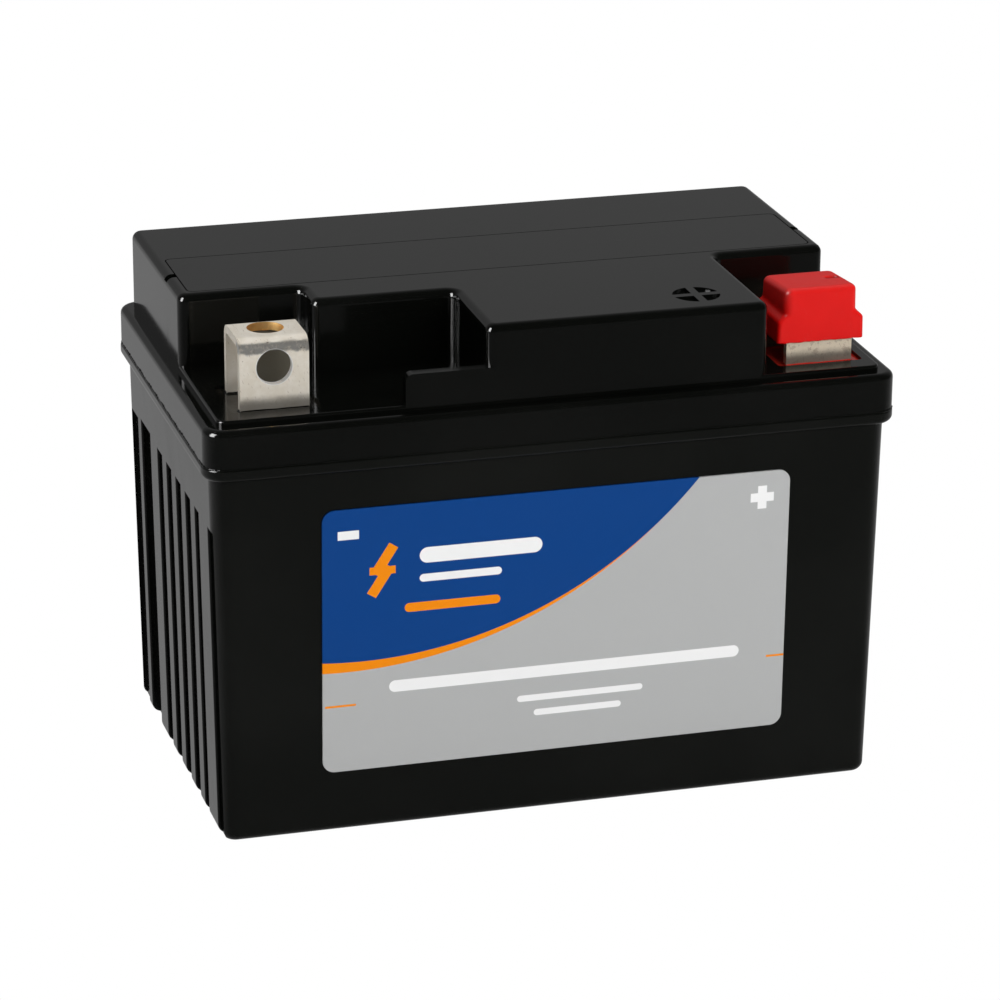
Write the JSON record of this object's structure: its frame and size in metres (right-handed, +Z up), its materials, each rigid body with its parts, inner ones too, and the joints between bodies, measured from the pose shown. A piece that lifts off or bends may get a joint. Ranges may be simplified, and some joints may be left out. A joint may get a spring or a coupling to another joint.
{
  "type": "motorcycle battery",
  "caption": "Sealed motorcycle battery: ribbed black case, welded cover with recesses, folded brass terminals, red pull-off cap and front label.",
  "frame": {"origin": "centre of the underside, at the middle of the overall box", "axes": "+X along the length towards the positive terminal, the label side faces -Y, +Z up"},
  "size_m": [0.113, 0.07, 0.0831],
  "materials": {
    "case_plastic": "glossy black moulded polypropylene, scuffed",
    "cover_plastic": "glossy black moulded polypropylene",
    "strip_plastic": "glossy black moulded polypropylene",
    "valve_rubber": "matt black rubber",
    "plated_brass": "tin-plated brass strip, scratched, brass showing at the cut edges",
    "black_epoxy": "poured black epoxy",
    "red_epoxy": "poured red epoxy",
    "red_vinyl": "soft satin red vinyl",
    "label_film": "printed film sticker: blue, orange and silver grey",
    "glass_mat": "white glass mat",
    "positive_paste": "dark brown lead dioxide paste on a lead grid",
    "negative_paste": "grey sponge lead paste on a lead grid",
    "lead": "dull cast lead"
  },
  "bodies": {
    "battery": {"case": "case_plastic", "cell_1_negative_plates": "negative_paste", "cell_1_negative_strap": "lead", "cell_1_positive_plates": "positive_paste", "cell_1_positive_strap": "lead", "cell_1_separators": "glass_mat", "cell_2_negative_plates": "negative_paste", "cell_2_negative_strap": "lead", "cell_2_positive_plates": "positive_paste", "cell_2_positive_strap": "lead", "cell_2_separators": "glass_mat", "cell_3_negative_plates": "negative_paste", "cell_3_negative_strap": "lead", "cell_3_positive_plates": "positive_paste", "cell_3_positive_strap": "lead", "cell_3_separators": "glass_mat", "cell_4_negative_plates": "negative_paste", "cell_4_negative_strap": "lead", "cell_4_positive_plates": "positive_paste", "cell_4_positive_strap": "lead", "cell_4_separators": "glass_mat", "cell_5_negative_plates": "negative_paste", "cell_5_negative_strap": "lead", "cell_5_positive_plates": "positive_paste", "cell_5_positive_strap": "lead", "cell_5_separators": "glass_mat", "cell_6_negative_plates": "negative_paste", "cell_6_negative_strap": "lead", "cell_6_positive_plates": "positive_paste", "cell_6_positive_strap": "lead", "cell_6_separators": "glass_mat", "cover": "cover_plastic", "front_label": "label_film", "intercell_weld_1": "lead", "intercell_weld_2": "lead", "intercell_weld_3": "lead", "intercell_weld_4": "lead", "intercell_weld_5": "lead", "negative_post": "lead", "negative_potting": "black_epoxy", "negative_terminal": "plated_brass", "positive_post": "lead", "positive_potting": "red_epoxy", "positive_terminal": "plated_brass", "valve_cap_1": "valve_rubber", "valve_cap_2": "valve_rubber", "valve_cap_3": "valve_rubber", "valve_cap_4": "valve_rubber", "valve_cap_5": "valve_rubber", "valve_cap_6": "valve_rubber", "vent_strip": "strip_plastic"},
    "red_cap": {"positive_cap": "red_vinyl"}
  },
  "joints": [
    {"name": "cap_lift", "type": "slide", "parent": "battery", "child": "red_cap", "axis": [0, 0, 1], "range_m": [0, 0.03]}
  ]
}
